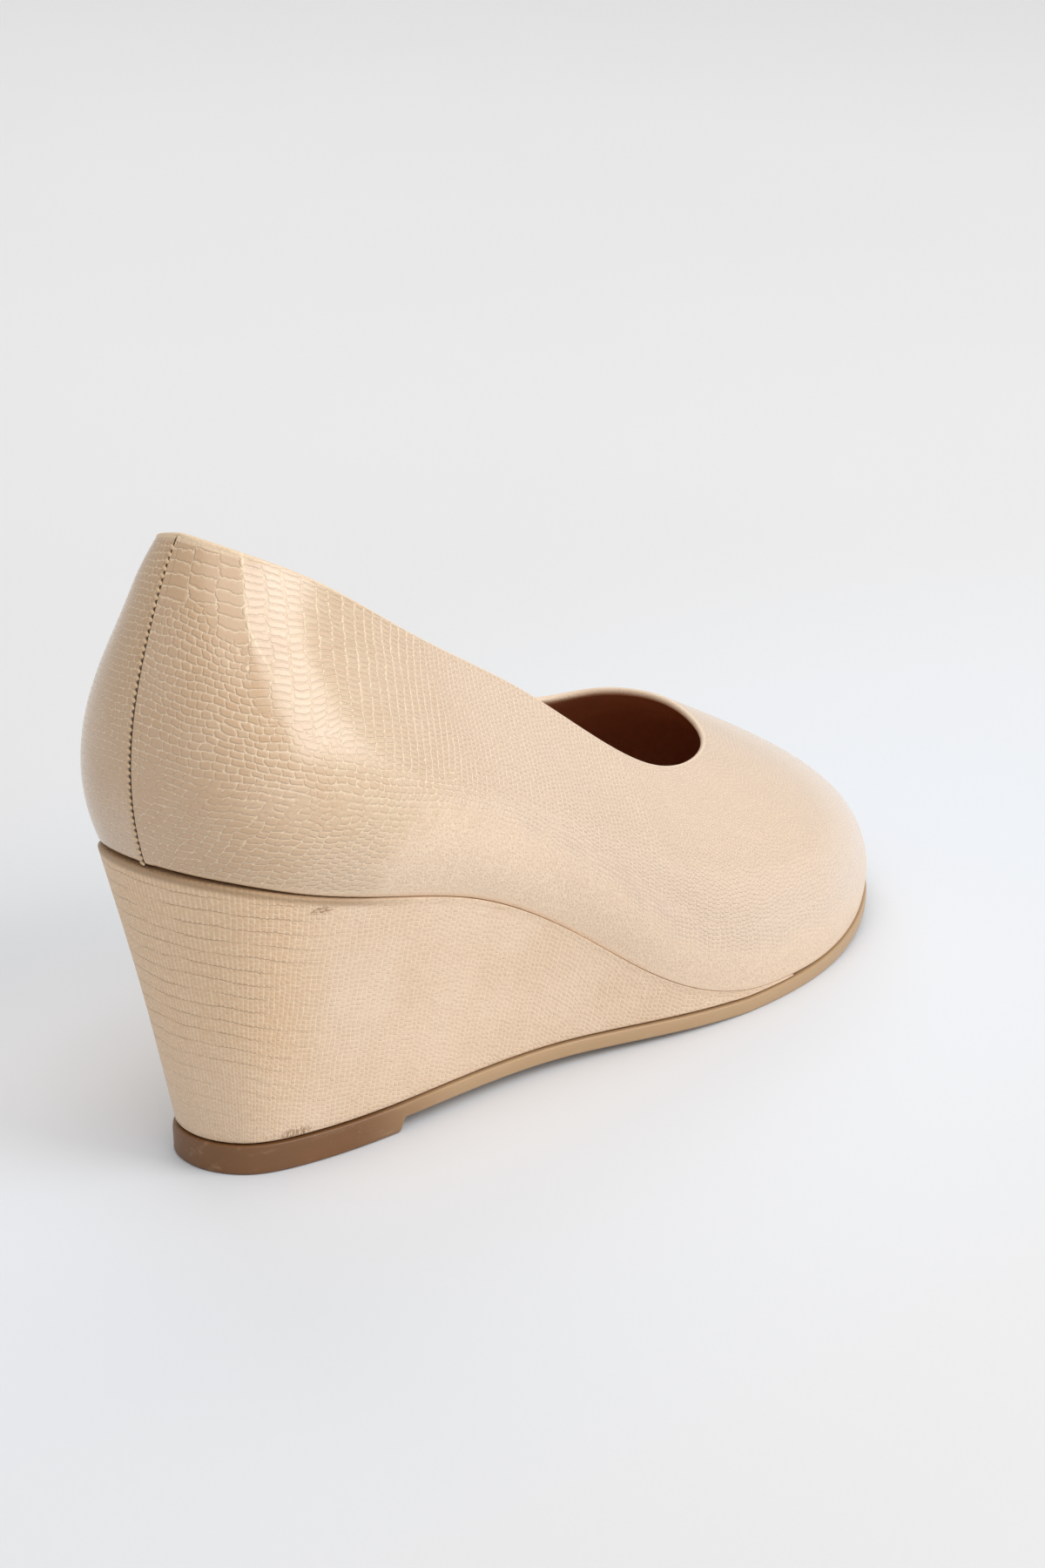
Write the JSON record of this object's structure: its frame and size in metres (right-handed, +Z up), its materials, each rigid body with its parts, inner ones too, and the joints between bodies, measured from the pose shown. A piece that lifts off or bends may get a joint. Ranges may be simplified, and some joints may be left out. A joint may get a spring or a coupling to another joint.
{
  "type": "wedge shoe",
  "caption": "Closed court shoe for the right foot on a high covered wedge, with a hollow upper, insole, stepped outsole and a low-cut topline.",
  "frame": {"origin": "centre of the bounding box, on the floor plane that the heel lift and the ball rest on", "axes": "+X from heel to toe, -Y towards the outer side of the foot, +Z up"},
  "size_m": [0.2314, 0.0862, 0.1355],
  "materials": {
    "upper": "satin beige with small embossed scales",
    "insole": "smooth dark brown",
    "wedge": "satin beige cover with small embossed scales",
    "outsole": "satin tan brown"
  },
  "bodies": {
    "root": {"upper": "upper", "insole": "insole", "wedge": "wedge", "outsole": "outsole"}
  },
  "joints": []
}
